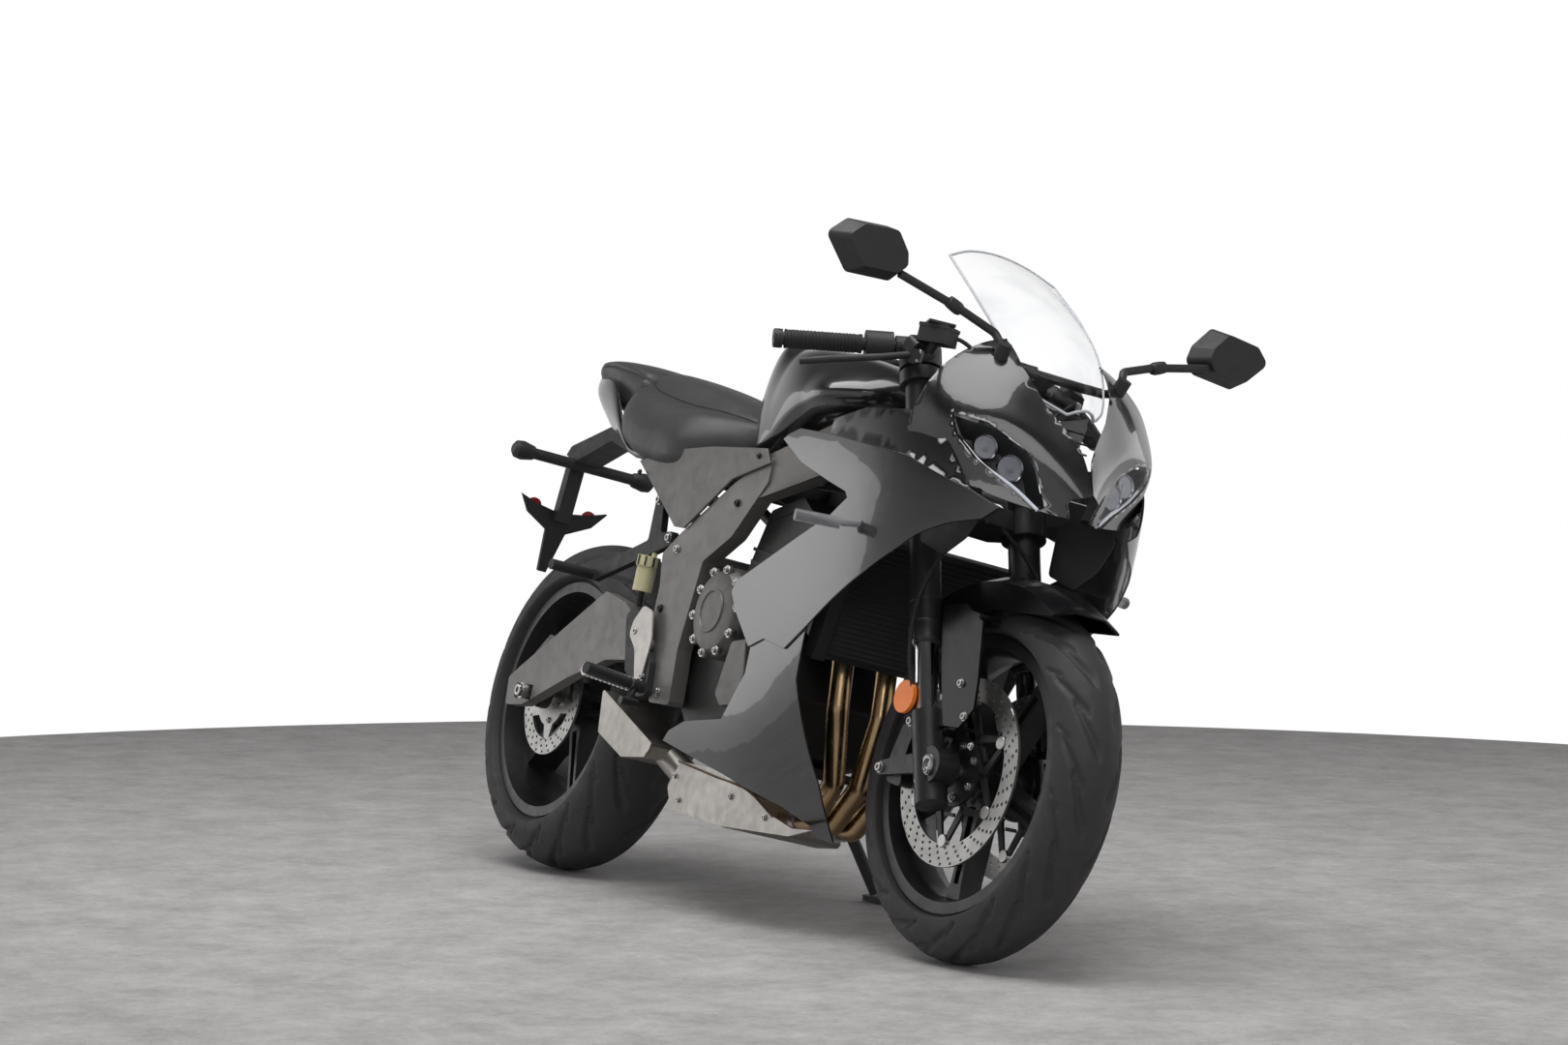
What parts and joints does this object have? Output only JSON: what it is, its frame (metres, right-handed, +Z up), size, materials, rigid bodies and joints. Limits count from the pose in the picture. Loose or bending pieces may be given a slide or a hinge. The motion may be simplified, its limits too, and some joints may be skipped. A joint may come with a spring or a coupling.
{
  "type": "sport motorcycle",
  "caption": "Middleweight sport motorcycle with full fairing and underbody silencer, leaning on its side stand, with turning wheels, steering and a folding stand.",
  "frame": {"origin": "centre of the bounding box in plan, on the ground", "axes": "+X forward along the motorcycle, +Y to the rider's left, +Z up; the motorcycle leans towards +Y on its side stand"},
  "size_m": [2.0713, 0.8874, 1.1957],
  "materials": {
    "tyre": "matte",
    "wheel_black": "satin",
    "disc_steel": "brushed",
    "steel": "satin",
    "fork_black": "satin",
    "chrome": "polished",
    "control_black": "satin",
    "grip_rubber": "matte",
    "gloss_black": "gloss",
    "caliper_black": "satin",
    "amber": "gloss",
    "frame_grey": "satin",
    "engine_dark": "satin",
    "cover_grey": "satin",
    "radiator_black": "matte",
    "header_bronze": "heat-tinted",
    "stainless": "brushed",
    "seat_vinyl": "matte",
    "cover_plastic": "satin",
    "matte_black": "matte",
    "lamp": "clear",
    "screen": "clear",
    "lamp_smoke": "clear",
    "reservoir": "translucent"
  },
  "bodies": {
    "chassis": {"frame": "frame_grey", "subframe": "control_black", "engine": "engine_dark", "engine_covers": "cover_grey", "radiator": "radiator_black", "exhaust_headers": "header_bronze", "silencer": "stainless", "swingarm": "frame_grey", "rear_axle": "steel", "rider_seat": "seat_vinyl", "pillion_seat": "seat_vinyl", "tail_cowl": "gloss_black", "fuel_tank": "gloss_black", "side_fairings": "gloss_black", "upper_cowls": "gloss_black", "lower_fairings": "gloss_black", "headlamps": "lamp", "windscreen": "screen", "mirrors": "matte_black", "front_indicators": "lamp_smoke", "side_covers": "cover_plastic", "plate_hanger": "matte_black", "footrests": "control_black", "pillion_hangers": "control_black", "rear_reservoir": "reservoir", "rear_caliper": "caliper_black", "rear_shock": "control_black", "chain": "steel", "dash": "matte_black"},
    "steering": {"fork_tubes": "fork_black", "fork_sliders": "chrome", "fork_feet": "fork_black", "yokes": "fork_black", "front_axle": "steel", "handlebars": "control_black", "grips": "grip_rubber", "mudguard": "gloss_black", "calipers": "caliper_black", "reflectors": "amber"},
    "front_wheel": {"front_rim": "wheel_black", "front_tyre": "tyre", "front_discs": "disc_steel"},
    "rear_wheel": {"rear_rim": "wheel_black", "rear_tyre": "tyre", "rear_disc": "disc_steel", "rear_sprocket": "steel"},
    "side_stand": {"side_stand": "control_black"}
  },
  "joints": [
    {"name": "steering", "type": "hinge", "parent": "chassis", "child": "steering", "pos_m": [0.81748, -0.24382, 0.00103], "axis": [-0.4022, 0.2198, 0.8888], "range_deg": [-29.6, 24.4]},
    {"name": "front_wheel_spin", "type": "hinge", "parent": "steering", "child": "front_wheel", "pos_m": [0.73587, -0.16972, 0.29184], "axis": [-0.0419, 0.9653, -0.2577], "continuous": true},
    {"name": "rear_wheel_spin", "type": "hinge", "parent": "chassis", "child": "rear_wheel", "pos_m": [-0.68906, -0.16814, 0.30903], "axis": [-0.0004, 0.9707, -0.2402], "continuous": true},
    {"name": "side_stand", "type": "hinge", "parent": "chassis", "child": "side_stand", "pos_m": [-0.04664, -0.03779, 0.26036], "axis": [0.0004, 0.9588, 0.2842], "range_deg": [0, 105]}
  ]
}
